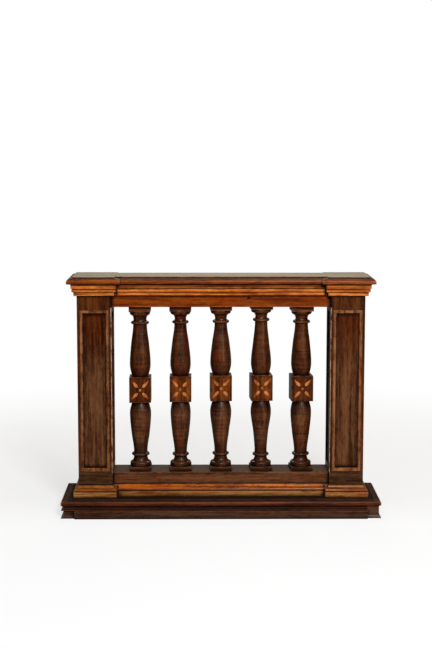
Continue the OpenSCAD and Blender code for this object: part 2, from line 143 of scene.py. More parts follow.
def power(name, description, watts):
    """The power of a lamp."""
    return FloatProperty(
        name=name, description=description, default=watts, min=0, max=1000, unit="POWER")


def fraction(name, description, default):
    """A number from 0 to 1."""
    return FloatProperty(
        name=name, description=description, default=default, min=0, max=1,
        subtype="FACTOR")


def tone_settings():
    """The two colour properties of each of TONES, by name."""
    made = {}
    for name, (where, deep, pale) in TONES.items():
        label = name.replace("_", " ").capitalize()
        made[name + "_deep"] = colour(label + ", deep", "Grain lines " + where, deep)
        made[name + "_pale"] = colour(label + ", pale", "Ground " + where, pale)
    return made


# ---- sizes and colours that can be changed ---------------------------------------------

class JoinerySizes(bpy.types.PropertyGroup):
    """How sharply the joinery is finished."""
    board_arris: length("Board arris", "Width of the eased edges of boards, posts and rails",
                        0.0011, 0.004)
    moulding_arris: length("Moulding arris", "Width of the eased edges of the mouldings",
                           0.0005, 0.001)
    # Half widths of dark lines along quirks and where parts meet, mostly painted shade, with
    # one dark line under the cap boards' top
    fine_quirk: length("Fine quirk", "Half width of the faint wax lines", 0.0012, 0.004)
    quirk: length("Quirk", "Half width of the wax line between two members", 0.0018, 0.004)
    deep_quirk: length("Deep quirk", "Half width of the wax line where a board meets a "
                       "moulding", 0.0029, 0.006)
    fillet: length("Fillet", "From the top of the cap boards to the quirk under it", 0.006,
                   0.02)
    panel_shade: length("Panel shade", "Reach of the dark at a panel's head and foot",
                        0.022, 0.06)
    crease: angle("Crease", "Edges that turn by more than this are arrises", 32, 20, 80)


class TurningSizes(bpy.types.PropertyGroup):
    """How finely the balusters are turned."""
    facets: IntProperty(
        name="Facets", description="Facets around each turning", default=96, min=24, max=256)
    stock_arris: length("Stock arris", "Width of the eased edges of the square stock",
                        0.0012, 0.003)


class StarSizes(bpy.types.PropertyGroup):
    """The star that is inlaid in each block."""
    petal_length: length("Petal length", "From a petal's round end to its tip", 0.032, 0.04)
    petal_width: length("Petal width", "Greatest width of a petal", 0.0108, 0.02)
    petal_start: length("Petal start", "From the block's middle to a petal", 0.014, 0.02)
    petal_angle: angle("Petal angle", "Angle of a petal over the level", 48, 30, 60)
    heart: length("Heart", "Side of the small square in the middle", 0.008, 0.02)
    proud: length("Proud", "How far the inlay stands over the block's face", 0.00012, 0.001)
    depth: length("Depth", "How deep the inlay is let in", 0.002273, 0.004)


STAR_SIZES = tuple(StarSizes.__annotations__)


class WoodColours(bpy.types.PropertyGroup):
    """The tones of the wood, and the painted shade and reflections on it."""
    # A painted reflection of the white room on the posts' arrises towards the opening
    bare: colour("Bare arris", "Arrises of the posts towards the opening", (232, 200, 168))
    # Painted shade on the sides of the balusters that look to the ends
    round_side: colour("Round side", "Balusters where they look to the ends", (20, 6, 2))
    # Greyed polish with a painted reflection of the white room on the cap boards' tops
    faded: colour("Faded", "Cap boards that look up, greyed by light", (174, 172, 146))
    # Painted shade on the plinth's faces that look up
    plinth_faded: colour("Plinth, faded", "Plinth boards that look up", (30, 12, 0))
    rail_faded: colour("Rail, faded", "Top of the base rail", (66, 34, 2))
    # Painted shade in the panels next to the beads and on the posts beside the top rail, and
    # the dark of seams and a knot
    shadow: colour("Shadow", "Old wax around the posts' feet and under the beads", (24, 6, 0))

    def pair(self, name):
        """The deep and the pale tone of a finish."""
        return getattr(self, name + "_deep"), getattr(self, name + "_pale")


WoodColours.__annotations__.update(tone_settings())


class StudioSettings(bpy.types.PropertyGroup):
    """Camera, lamps and floor."""
    lens: FloatProperty(
        name="Lens", description="Focal length of the camera", default=77.94, min=20,
        max=200, unit="CAMERA")
    stand: FloatVectorProperty(
        name="Stand", description="Where the camera stands",
        default=(-0.0696, -5.1359, 1.3548), size=3, unit="LENGTH", subtype="TRANSLATION")
    aim: FloatVectorProperty(
        name="Aim", description="Turn of the camera around X, Y and Z",
        default=[math.radians(turn) for turn in (82.7, -0.047, -0.573)], size=3,
        unit="ROTATION", subtype="EULER")
    key_power: power("Key", "Power of the soft box in front on the right", 152)
    top_power: power("Top", "Power of the soft box overhead", 20)
    fill_power: power("Fill", "Power of the soft box in front on the left", 5)
    strip_power: power("Strip", "Power of the upright strip on the right", 18)
    back_power: power("Back", "Power of the soft box behind the balustrade", 45)
    end_power: power("Ends", "Power of the soft box at each end", 24)
    surround: fraction("Surround", "Light of the white room on the balustrade", 0.028)
    sheen: fraction("Sheen", "How bright the white room is in the polish", 0.12)
    floor: colour("Floor", "Colour of the studio floor", (226, 226, 227))
    bounce: colour("Bounce", "Colour of the light that the floor throws back",
                   (96, 94, 92))


GROUPS = {
    "joinery": JoinerySizes,
    "turning": TurningSizes,
    "star": StarSizes,
    "wood": WoodColours,
    "studio": StudioSettings,
}


class BalustradeSettings(bpy.types.PropertyGroup):
    """All settings of the balustrade."""
    __annotations__ = {
        name: PointerProperty(type=group, name=name.capitalize(), description=group.__doc__)
        for name, group in GROUPS.items()}


# ---- finishes ---------------------------------------------------------------------------

# The marks of each kind to the metre, along and across the grain
STREAKS, FIBRES, PORES, STAINS = (14.0, 190.0), (40.0, 800.0), (60.0, 1700.0), (9.0, 26.0)
# The same along it for flames and mottle. Across it the flames take the finish's number,
# and the mottle is so many times as fine
FLAMES, MOTTLE, MOTTLE_FINER = 3.0, 34.0, 1.6
# The marks of the lathe to the metre, up a turning and around it
LATHE_MARKS = (150.0, 9.0)
# These move the flames, mottle and stains on, so that they don't line up
FLAME_SHIFT, MOTTLE_SHIFT, STAIN_SHIFT = 7.0, 5.0, 3.0
# How far the marks change the tone, the relief and the roughness of the polish
STREAK_TONE, FIBRE_TONE, MOTTLE_TONE, PORE_TONE = 0.35, 0.2, 0.38, 0.4
STREAK_RELIEF, FIBRE_RELIEF, PORE_RELIEF = 0.3, 0.5, -0.8
STREAK_POLISH, MOTTLE_POLISH, PORE_POLISH = -0.06, 0.14, 0.1
# How much of the deep tone is left in the pores, in the dark border and in the painted shade,
# and how much of a quirk's line that painted shade covers
PORE_DEEP, BORDER_DEEP, SHADE_DEEP, SHADE_COVER = 0.5, 0.3, 0.08, 0.85
# How far faces that look up take their own tone, and how much rougher they are; that tone is
# greyed polish with a painted reflection on the cap boards, and painted shade on the plinth
UP_SHARE, ROUGHENED = 0.85, 0.3
# What a patch of the old red stain lets through
RED_STAIN = (1.0, 0.42, 0.22)
# How far wear and the dark border reach from an arris, in metres; on the posts' arrises
# towards the opening that wear is a painted reflection
WEAR_GLINT_REACH, BORDER_REACH = 0.005, 0.012
# The pale tone of wear by hands, and how far a tone goes there: where the wood has lost its
# polish, and in the deep and the pale tone of an eased arris, which is wear and also a
# painted highlight on the lit edge
WORN_LIT_TONE = paint(196, 132, 82)
BARED, ARRIS_DEEP, ARRIS_PALE = 0.6, 0.22, 0.34
# The polish's refraction, the roughness of the coat on top, and the strength and the depth
# of the relief under it, the depth in metres
POLISH_IOR, COAT_ROUGHNESS, RELIEF, RELIEF_DEPTH = 1.2, 0.18, 0.22, 0.0006


class Value:
    """A node's output that can be added, multiplied and so on like a number."""

    def __init__(self, nodes, socket):
        self.nodes = nodes
        self.socket = socket

    def math(self, operation, first, second):
        """The result of a Math node."""
        return self.nodes.node("ShaderNodeMath", {"operation": operation},
                               {0: first, 1: second})

    def of(self, operation, second=0.0):
        """The result of a Math node that starts from this value."""
        return self.math(operation, self, second)

    def __add__(self, other):
        return self.of("ADD", other)

    def __sub__(self, other):
        return self.of("SUBTRACT", other)

    def __rsub__(self, other):
        return self.math("SUBTRACT", other, self)

    def __mul__(self, other):
        return self.of("MULTIPLY", other)

    def __abs__(self):
        return self.of("ABSOLUTE")

    __radd__, __rmul__ = __add__, __mul__


class Nodes:
    """A node tree while it is made."""

    def __init__(self, tree):
        self.tree = tree

    def node(self, kind, settings=None, sockets=None, out=0):
        """Adds a node: its settings first, then what its sockets take, which is a number,
        a value or a list of values. Gives one of its outputs."""
        made = self.tree.nodes.new(kind)
        for name, value in (settings or {}).items():
            setattr(made, name, value)
        for name, value in (sockets or {}).items():
            for source in value if isinstance(value, list) else [value]:
                if isinstance(source, Value):
                    self.tree.links.new(source.socket, made.inputs[name])
                else:
                    made.inputs[name].default_value = source
        return Value(self, made.outputs[out]) if made.outputs else None

    def vector(self, x=0.0, y=0.0, z=0.0):
        """A vector from its three parts."""
        return self.node("ShaderNodeCombineXYZ", sockets={0: x, 1: y, 2: z})

    def parts(self, vector):
        """The three parts of a vector."""
        split = self.node("ShaderNodeSeparateXYZ", sockets={0: vector}).socket.node
        return [Value(self, output) for output in split.outputs]


class Finish(Nodes):
    """The shader tree of a material or of the world while it is made."""

    def __init__(self, owner):
        owner.use_nodes = True
        super().__init__(owner.node_tree)
        self.owner = owner
        self.tree.nodes.clear()

    def place(self):
        """The point on the piece, in metres, as three values."""
        return self.parts(self.node("ShaderNodeTexCoord", out="Object"))

    def facing(self, normal="True Normal"):
        """The direction of the surface, true or smoothed, as three values."""
        return self.parts(self.node("ShaderNodeNewGeometry", out=normal))

    def distance(self, x, y):
        """How far a point given as two values lies from the origin."""
        return self.node("ShaderNodeVectorMath", {"operation": "LENGTH"},
                         {0: self.vector(x, y)}, out="Value")

    def noise(self, point, detail=2.0, roughness=0.55, distortion=0.0):
        """Noise from 0 to 1 at a point given as three values."""
        return self.node("ShaderNodeTexNoise", sockets={
            "Vector": self.vector(*point), "Scale": 1.0, "Detail": detail,
            "Roughness": roughness, "Distortion": distortion})

    def step(self, value, low, high):
        """0 under low, 1 over high and smooth between them."""
        return self.node("ShaderNodeMapRange", {"interpolation_type": "SMOOTHSTEP"},
                         {"Value": value, "From Min": low, "From Max": high})

    def line(self, value, level, half):
        """1 where a value is at a level, within about this half width."""
        return self.step(abs(value - level), half * 1.5, half * 0.5)

    def blend(self, share, first, second, how="MIX"):
        """Two colours mixed."""
        first, second = ((*c, 1.0) if isinstance(c, tuple) else c for c in (first, second))
        return self.node("ShaderNodeMix", {"data_type": "RGBA", "blend_type": how},
                         {0: share, 6: first, 7: second}, out=2)

    def occlusion(self, distance, inside=False):
        """1 in the open and 0 in a corner, or with inside at a sharp arris."""
        return self.node("ShaderNodeAmbientOcclusion", {
            "samples": 8, "inside": inside, "only_local": inside},
            {"Distance": distance}, out="AO")

    def bump(self, height, strength, distance):
        """The surface direction after small heights."""
        return self.node("ShaderNodeBump", sockets={
            "Height": height, "Strength": strength, "Distance": distance})

    def seen(self, sheen):
        """1 to the eye and through glass, sheen in a reflection and 0 to other light."""
        rays = self.node("ShaderNodeLightPath").socket.node.outputs
        eye, glass, polish = (Value(self, rays[f"Is {kind} Ray"])
                              for kind in ("Camera", "Transmission", "Glossy"))
        return eye + glass + polish * sheen

    def end(self, kind, shader):
        """Ends the tree in an output node and gives the material or the world."""
        self.node(kind, sockets={"Surface": shader})
        return self.owner


def grain_axes(finish, run, crossed):
    """The point as (along the grain, across it, through it). run is X, Y or Z, or level
    for pieces that run around the posts; crossed is where upright grain lies level."""
    x, y, z = finish.place()
    if run == "X":
        return x, y, z
    if run == "Y":
        return y, x, z
    if run == "Z" and not crossed:
        return z, x, y
    nx, ny, _ = finish.facing()
    end = finish.step(abs(nx) - abs(ny), -0.05, 0.05)
    along = x + (y - x) * end
    across = y + (x - y) * end
    if run == "level":
        return along, across, z
    share = crossed(finish)
    return z + (along - z) * share, x + (z - x) * share, y + (across - y) * share


def under(height, soft=0.0005):
    """The part of a piece that lies under a height."""
    return lambda finish: finish.step(finish.place()[2], height + soft, height - soft)


def over(height, soft=0.0005):
    """The part of a piece that lies over a height."""
    return under(height, -soft)


def inward(distance, soft=0.005):
    """The part that lies nearer to the middle of the balustrade than a distance."""
    return lambda finish: finish.step(abs(finish.place()[0]), distance + soft,
                                      distance - soft)


def outward(distance, soft=0.005):
    """The part that lies further from the middle of the balustrade than a distance."""
    return inward(distance, -soft)


def both(first, second):
    """Where two parts overlap."""
    return lambda finish: first(finish) * second(finish)


def sunk(low, high, margin=0.001):
    """The part of the posts that lies deeper than their faces, from one post's box."""
    middle, half = (low + high) / 2, (high - low) / 2

    def share(finish):
        x, y, _ = finish.place()
        return (finish.step(abs(abs(x) - abs(middle.x)), half.x, half.x - margin)
                * finish.step(abs(y - middle.y), half.y, half.y - margin))
    return share


def seam(distance, half):
    """The dark line where two boards meet at a distance to the left and to the right."""
    return lambda finish: finish.line(abs(finish.place()[0]), distance, half)


def spot(across, height, half_width, half_height):
    """A knot or a dent in the front and in the back."""
    def share(finish):
        x, _, z = finish.place()
        away = finish.distance((x - across) * (1 / half_width),
                               (z - height) * (1 / half_height))
        return finish.step(away, 1.3, 0.5)
    return share


def towards_tip(finish):
    """The part of a petal towards its tip."""
    tip = finish.node("ShaderNodeAttribute", {"attribute_name": TIP}, out="Fac")
    return finish.step(tip, 0.2, 0.75)


def sideways(low, high, most=1.0):
    """What looks to the left and to the right: nothing up to low, and most from high on."""
    return lambda finish: finish.step(abs(finish.facing()[0]), low, high) * most


def flank(finish):
    """What lies on both sides of a bead's crown, on any face of a post, where shade is
    painted.
    """
    nx, ny, _ = finish.facing("Normal")
    return finish.step(abs(nx).of("MAXIMUM", abs(ny)), 0.997, 0.982)


def dimmed(tone, share):
    """The share of a tone that is left in the dark."""
    return tuple(part * share for part in tone)


def worn_and_lit(tone, share):
    """A tone on its way to the pale of wear, also a painted highlight on eased arrises."""
    return tuple(a + (b - a) * share for a, b in zip(tone, WORN_LIT_TONE))


def walnut(name, deep, pale, run, shine=0.24, gloss=0.0, figure=1.3, fine=32.0,
           turned=0.0, faded=None, painted_shade=0.9, reach=0.020, rub=0.5, rubbed=None, bare=None,
           warm=0.35, dark_border=0.0, areas=(), quirks=(), crossed=None):
    """A polished walnut finish. deep and pale are its tones and run is the way of the
    grain. shine is its roughness, gloss the polish on top, figure the strength of the
    grain, fine its marks to the metre and turned the strength of the marks of the lathe.
    The arguments after those are, in order: the tone of the faces that look up, which on the
    cap boards is greyed polish with a painted reflection of the white room and on the plinth
    painted shade; the strength of the painted shade in corners and how far it spreads; the
    wear on the arrises, the part that has it and its tone, which on the posts' arrises
    towards the opening are a painted reflection instead; the red of the old stain in
    patches; the dark border along the arrises; parts of the piece with tones of their own;
    heights and half widths of dark lines along quirks and where parts meet, mostly painted
    shade; and where upright grain lies level."""
    finish = Finish(bpy.data.materials.new(name))
    u, v, w = grain_axes(finish, run, crossed)
    height = finish.place()[2]

    def marks(kind, *noise):
        """Noise in marks of one kind."""
        along, across = kind
        return finish.noise((u * along, v * across, w * across), *noise)

    flame = finish.noise((u * FLAMES + FLAME_SHIFT, v * fine, w * fine), 6.0, 0.72, 0.3)
    mottle = finish.noise((u * MOTTLE, v * fine * MOTTLE_FINER + MOTTLE_SHIFT,
                           w * fine * MOTTLE_FINER), 4.0, 0.65)
    streak = marks(STREAKS, 3.0, 0.7)
    fibre = marks(FIBRES, 2.0)
    pore = finish.step(marks(PORES, 1.0), 0.60, 0.70)
    ground = (0.5 + (flame - 0.5) * figure + (streak - 0.5) * STREAK_TONE
              + (fibre - 0.5) * FIBRE_TONE + (mottle - 0.5) * MOTTLE_TONE)
    relief = fibre * FIBRE_RELIEF + streak * STREAK_RELIEF + pore * PORE_RELIEF
    if turned:
        x, y, _ = finish.place()
        upward, around = LATHE_MARKS
        rings = finish.noise((height * upward, x * around, y * around), 3.0, 0.6)
        ground = ground + (rings - 0.5) * turned
        relief = relief + rings * turned

    low, high = tuple(deep), tuple(pale)
    for part, part_deep, part_pale in areas:
        share = part(finish)
        low = finish.blend(share, low, tuple(part_deep))
        high = finish.blend(share, high, tuple(part_pale))
    tone = finish.blend(finish.step(ground, 0.30, 0.70), low, high)
    along, across = STAINS
    stain = finish.noise((u * along, v * across + STAIN_SHIFT, w * across), 5.0, 0.65)
    tone = finish.blend(finish.step(stain, 0.5, 0.62) * warm, tone, RED_STAIN, "MULTIPLY")
    tone = finish.blend(pore * PORE_TONE, tone, dimmed(deep, PORE_DEEP))

    # Faces that look up take their own tone: on the cap boards greyed polish with a painted
    # reflection of the white room, on the plinth painted shade
    if faded:
        up = finish.step(finish.facing()[2], 0.80, 0.95)
        up_mix = finish.blend(ground, dimmed(deep, PORE_DEEP), tuple(faded))
        tone = finish.blend(up * UP_SHARE, tone, up_mix)
        shine = up * ROUGHENED + shine
    if dark_border:
        border = 1.0 - finish.step(finish.occlusion(BORDER_REACH, inside=True), 0.5, 1.0)
        tone = finish.blend(border * dark_border, tone, dimmed(deep, BORDER_DEEP))
    # Wear on the arrises; on the posts' arrises towards the opening it is a painted
    # reflection
    edge = finish.occlusion(WEAR_GLINT_REACH, inside=True)
    wear_glint_mask = (1.0 - finish.step(edge, 0.55, 0.98)) * finish.step(mottle, 0.35, 0.60) * rub
    if rubbed:
        wear_glint_mask = wear_glint_mask * rubbed(finish)
    tone = finish.blend(wear_glint_mask, tone, tuple(bare or worn_and_lit(pale, BARED)))
    # Painted shade in corners, and in dark lines along quirks and where parts meet
    shade_share = (1.0 - finish.step(finish.occlusion(reach), 0.45, 0.95)) * painted_shade
    for level, half in quirks:
        shade_share = shade_share + (1.0 - shade_share) * finish.line(height, level, half) * SHADE_COVER
    tone = finish.blend(shade_share, tone, dimmed(deep, SHADE_DEEP))

    polish = shine + mottle * MOTTLE_POLISH + streak * STREAK_POLISH + pore * PORE_POLISH
    shader = finish.node("ShaderNodeBsdfPrincipled", sockets={
        "Base Color": tone, "Roughness": polish, "IOR": POLISH_IOR,
        "Coat Weight": gloss, "Coat Roughness": COAT_ROUGHNESS,
        "Normal": finish.bump(relief, RELIEF, RELIEF_DEPTH)})
    return finish.end("ShaderNodeOutputMaterial", shader)


def finish_pair(name, deep, pale, run, **more):
    """The finish of a piece and that of its arrises, paler from wear and painted highlight.
    """
    return (walnut(name, deep, pale, run, **more),
            walnut(name + " arris", worn_and_lit(deep, ARRIS_DEEP), worn_and_lit(pale, ARRIS_PALE), run,
                   **more))


# ---- shapes -----------------------------------------------------------------------------

# Points nearer than this are one, and points as near as this to a face lie in it, in metres
ONE_POINT, IN_FACE = 2e-6, 0.0001
# Faces that turn by less than this are one
ONE_FACE = math.radians(0.5)
# The share of its reach from its axis from which a point of a baluster is a corner of the
# square stock, and the share of the stock's half side up to which it is on a turning
CORNER_FROM, TURNED_TO = 0.98, 0.999
# How far a turning runs into the square stock at both ends, in metres
RUN_IN = 0.002


def placed(name, data):
    """A new object in the scene."""
    made = bpy.data.objects.new(name, data)
    bpy.context.scene.collection.objects.link(made)
    return made


def mesh_of(shape, name):
    """Makes a finished shape a mesh."""
    mesh = bpy.data.meshes.new(name)
    shape.to_mesh(mesh)
    shape.free()
    return mesh


def take_in(shape, mesh):
    """Adds a mesh to a shape and drops the mesh."""
    shape.from_mesh(mesh)
    bpy.data.meshes.remove(mesh)


def shown_as(shape, name, materials, slot, *stands_for):
    """Makes the shape an object of the balustrade that stands for these CAD nodes."""
    piece = placed(name, mesh_of(shape, name))
    for material in materials:
        piece.data.materials.append(material)
    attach(piece, BODY)
    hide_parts(*stands_for)
    return piece


def ease(shape, width, crease, arris=1):
    """Rounds every outer edge that turns by more than crease."""
    for face in shape.faces:
        face.smooth = True
    edges = [e for e in shape.edges
             if len(e.link_faces) == 2 and e.calc_face_angle_signed(0.0) > crease]
    bmesh.ops.bevel(shape, geom=edges, offset=width, offset_type="OFFSET", segments=2,
                    profile=0.55, affect="EDGES", clamp_overlap=False, material=arris)


def weigh_normals(piece, crease):
    """Keeps flat faces flat beside their eased edges."""
    piece.data.set_sharp_from_angle(angle=crease)
    weighted = piece.modifiers.new("Flat faces", "WEIGHTED_NORMAL")
    weighted.keep_sharp = True
    weighted.weight = 100


def cad(node):
    """The mesh of a CAD node."""
    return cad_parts[node].data


def eased_node(node, materials, slot, sizes, board=False):
    """A CAD node with its arrises eased, as on a board or else as on a moulding."""
    shape = bmesh.new()
    shape.from_mesh(cad(node))
    bmesh.ops.remove_doubles(shape, verts=shape.verts, dist=ONE_POINT)
    bmesh.ops.dissolve_limit(shape, angle_limit=ONE_FACE, verts=shape.verts,
                             edges=shape.edges)
    for face in shape.faces:
        face.material_index = 0
    ease(shape, sizes.board_arris if board else sizes.moulding_arris, sizes.crease)
    piece = shown_as(shape, node + "_eased", materials, slot, node)
    weigh_normals(piece, sizes.crease)


def ledge_of(node):
    """Height of the upper arris of a CAD moulding's outermost face."""
    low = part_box(node)[0]
    return max(v.co.z for v in cad(node).vertices if v.co.y < low.y + IN_FACE)


def squared(shape, half, low, high, width, crease, face_slot, arris_slot):
    """Adds a length of square stock with eased edges."""
    stock = bmesh.new()
    bmesh.ops.create_cube(stock, size=1.0, matrix=Matrix.LocRotScale(
        Vector((0.0, 0.0, (low + high) / 2)), None, Vector((2 * half, 2 * half, high - low))))
    for face in stock.faces:
        face.material_index = face_slot
    ease(stock, width, crease, arris_slot)
    take_in(shape, mesh_of(stock, "stock"))


def stand(shape, axis, twist, height=0.0):
    """Twists a shape around the upright and moves it to its axis and height."""
    shape.transform(Matrix.Translation((axis.x, axis.y, height))
                    @ Matrix.Rotation(twist, 4, "Z"))


class Tree(Nodes):
    """A Geometry Nodes tree while it is made, with its geometry and its given inputs."""

    def __init__(self, name, inputs):
        super().__init__(bpy.data.node_groups.new(name, "GeometryNodeTree"))
        face = self.tree.interface
        for label, kind in {"Geometry": "Geometry", **inputs}.items():
            face.new_socket(label, in_out="INPUT", socket_type="NodeSocket" + kind)
        face.new_socket("Geometry", in_out="OUTPUT", socket_type="NodeSocketGeometry")
        start = self.tree.nodes.new("NodeGroupInput").outputs
        self.geometry = Value(self, start["Geometry"])
        self.given = [Value(self, start[label]) for label in inputs]

    def moved(self, geometry, place):
        """Geometry with its points at other places."""
        return self.node("GeometryNodeSetPosition", sockets={
            "Geometry": geometry, "Position": place})

    def merged(self, geometry):
        """Geometry with its seams and poles closed."""
        return self.node("GeometryNodeMergeByDistance", sockets={
            "Geometry": geometry, "Distance": ONE_POINT})

    def marked(self, geometry, value):
        """Geometry that carries how near each point is to a petal's tip."""
        return self.node("GeometryNodeStoreNamedAttribute", {"data_type": "FLOAT"}, {
            "Geometry": geometry, "Name": TIP, "Value": value})

    def turned(self, geometry, count, turn):
        """So many instances of a geometry, each turned around the upright."""
        points = self.node("GeometryNodePoints", sockets={"Count": count})
        return self.node("GeometryNodeInstanceOnPoints", sockets={
            "Points": points, "Instance": geometry, "Rotation": self.vector(z=turn)})

    def finish(self, geometry, material):
        """Ends the tree in real geometry that wears the material."""
        real = self.node("GeometryNodeRealizeInstances", sockets={0: geometry})
        dressed = self.node("GeometryNodeSetMaterial", sockets={
            "Geometry": real, "Material": material})
        self.node("NodeGroupOutput", sockets={0: dressed})
        return self.tree


def grown(points, edges, group, values):
    """The mesh that a tree makes from points and edges with these input values."""
    mesh = bpy.data.meshes.new(group.name)
    mesh.from_pydata(points, edges, [])
    maker = placed(group.name, mesh)
    modifier = maker.modifiers.new(group.name, "NODES")
    modifier.node_group = group
    for item in group.interface.items_tree:
        if item.item_type == "SOCKET" and item.in_out == "INPUT" and item.name in values:
            modifier[item.identifier] = values[item.name]
    bpy.context.view_layer.update()
    evaluated = maker.evaluated_get(bpy.context.evaluated_depsgraph_get())
    made = bpy.data.meshes.new_from_object(evaluated)
    bpy.data.objects.remove(maker)
    bpy.data.meshes.remove(mesh)
    return made


def lathe_tree():
    """Turns an outline of (radius, 0, height) points around the upright axis."""
    tree = Tree("Lathe", {"facets": "Int", "wood": "Material"})
    outline, (facets, wood) = tree.geometry, tree.given
    rings = tree.node("GeometryNodeAttributeDomainSize", {"component": "MESH"},
                      {"Geometry": outline}, out="Point Count")
    sheet = tree.node("GeometryNodeMeshGrid", sockets={
        "Vertices X": facets + 1.0, "Vertices Y": rings}, out="Mesh")
    index = tree.node("GeometryNodeInputIndex")
    point = tree.node("GeometryNodeSampleIndex", {"data_type": "FLOAT_VECTOR"}, {
        "Geometry": outline, "Value": tree.node("GeometryNodeInputPosition"),
        "Index": index.of("MODULO", rings)})
    radius, _, height = tree.parts(point)
    column = index.of("DIVIDE", rings).of("FLOOR")
    turn = column.of("DIVIDE", facets) * math.tau
    place = tree.vector(radius * turn.of("COSINE"), radius * turn.of("SINE"), height)
    return tree.finish(tree.merged(tree.moved(sheet, place)), wood)


# The points around a petal, and the power that moves its belly towards its round end
PETAL_POINTS, PETAL_BELLY = 40, 0.6


def star_tree():
    """Four petals around a small square, let into the front and the back of a block."""
    tree = Tree("Inlaid star", {**dict.fromkeys(STAR_SIZES, "Float"),
                                "block_half": "Float", "wood": "Material"})
    long, wide, start, rise, side, proud, depth, half, wood = tree.given
    disc = tree.node("GeometryNodeMeshCircle", {"fill_type": "NGON"},
                     {"Vertices": PETAL_POINTS, "Radius": 1.0})
    turn = tree.node("GeometryNodeInputIndex") * (math.tau / PETAL_POINTS)
    share = (1.0 - turn.of("COSINE")) * 0.5
    belly = (share.of("POWER", PETAL_BELLY) * math.pi).of("SINE") * wide * 0.5
    petal = tree.moved(disc, tree.vector(start + share * long,
                                         belly * turn.of("SINE").of("SIGN")))

    index = tree.node("GeometryNodeInputIndex")
    odd = index.of("MODULO", 2.0)
    lean = rise - odd * (rise * 2.0 - math.pi / 2)
    petals = tree.turned(tree.marked(petal, share), 4, lean + index * (math.pi / 2))
    heart = tree.node("GeometryNodeMeshGrid", sockets={
        "Size X": side, "Size Y": side, "Vertices X": 2, "Vertices Y": 2}, out="Mesh")
    star = tree.node("GeometryNodeJoinGeometry",
                     sockets={0: [petals, tree.marked(heart, 0.5)]})

    flat = tree.node("GeometryNodeRealizeInstances", sockets={0: star})
    raised = tree.node("GeometryNodeExtrudeMesh", {"mode": "FACES"}, {
        "Mesh": flat, "Offset": tree.vector(z=1.0), "Offset Scale": depth + proud,
        "Individual": False})
    back = tree.node("GeometryNodeFlipFaces", sockets={"Mesh": flat})
    solid = tree.node("GeometryNodeJoinGeometry", sockets={0: [raised, back]})
    let_in = tree.node("GeometryNodeTransform", sockets={
        "Geometry": tree.merged(solid),
        "Translation": tree.vector(y=(half - depth) * -1.0),
        "Rotation": (math.pi / 2, 0.0, 0.0)})
    return tree.finish(tree.turned(let_in, 2, tree.node("GeometryNodeInputIndex") * math.pi),
                       wood)


def stock_of(node):
    """Axis, twist, half side and the six heights of a CAD baluster's square stock."""
    low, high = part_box(node)
    axis = Vector(((low.x + high.x) / 2, (low.y + high.y) / 2))
    reach = max((v.co.xy - axis).length for v in cad(node).vertices)
    corners = [v.co for v in cad(node).vertices
               if (v.co.xy - axis).length > reach * CORNER_FROM]
    first = corners[0].xy - axis
    twist = (math.atan2(first.y, first.x) - math.pi / 4) % (math.pi / 2)
    if twist > math.pi / 4:
        twist -= math.pi / 2
    heights = sorted({round(c.z, 5) for c in corners})
    if len(heights) != 6:
        raise RuntimeError(f"{node} has square stock at {len(heights)} heights, not at 6")
    return axis, twist, reach / math.sqrt(2), heights


def outline_of(node, axis, half, low, high):
    """The (radius, height) of each ring of edges of a CAD turning, run on a little way
    into the square stock at both ends."""
    rings = {}
    for vertex in cad(node).vertices:
        radius = (vertex.co.xy - axis).length
        height = round(vertex.co.z, 5)
        if radius < half * TURNED_TO and low <= height <= high:
            rings[height] = max(radius, rings.get(height, 0.0))
    ends = sorted(rings)
    first, last = rings[ends[0]], rings[ends[-1]]
    return ([(0.0, low - RUN_IN), (first, low - RUN_IN)]
            + [(rings[z], z) for z in ends]
            + [(last, high + RUN_IN), (0.0, high + RUN_IN)])


# ---- operators --------------------------------------------------------------------------

# Shares of the height of a cap moulding, where its two inner lines of painted shade are; of
# an ogee, up to where its low part has painted shade; of a panel, from where it is its top;
# and of the lower turning of a baluster, up to where it is its foot and from where it has
# painted shade under the block
CAP_QUIRKS, OGEE_DIP, PANEL_TOP, TURNED_FOOT, SHOULDER = (0.27, 0.60), 0.3, 0.72, 0.34, 0.88
# As shares too, how far the tones of these run into their neighbours: on a panel or an
# ogee, and on a turning
CHANGE, TURNED_CHANGE = 0.2, 0.1
# A knot in the top rail, and a dent and a stain in the edge of the middle cap board, each
# given by its place to the right, its height and its half width and half height in metres
RAIL_KNOT = (0.101, 0.801, 0.007, 0.005)
CAP_MARKS = ((0.184, 0.873, 0.005, 0.004), (0.135, 0.862, 0.016, 0.006))
# Half widths of the seams between cap boards and mouldings and at the rails' ends, in metres;
# where a rail's moulding meets a post's, the seam is also painted shade in the inner corner
BOARD_SEAM, MOULDING_SEAM, RAIL_SEAM = 0.002, 0.0035, 0.004
# How far the painted reflection on a post's arris towards the opening and the painted shade
# beside the top rail reach over its face, each with half the width over which it ends, in
# metres
GLINT_EDGE, BESIDE_RAIL = (0.002, 0.001), (0.008, 0.004)
# The turnings of a baluster, each by the number of the height it starts at
TURNINGS = (1, 3)
# Its foot plate, block and head plate: the number of the height each starts at, and the
# numbers of the materials of its faces and of its arrises
STOCK = ((0, 4, 4), (2, 1, 2), (4, 3, 3))
# How much darker than white the floor is, how much less so before the balustrade, and the
# places behind and before it between which that changes, in metres
FLOOR_SHADE, LESS_BEFORE, BEHIND, BEFORE = 0.42, 0.16, 0.3, -0.3
# How far from the middle the floor begins to pale, is white and ends, in metres
PALES_FROM, WHITE_FROM, FLOOR_SIZE = 0.6, 3.0, 14.0
WHITE = (1.0, 1.0, 1.0)
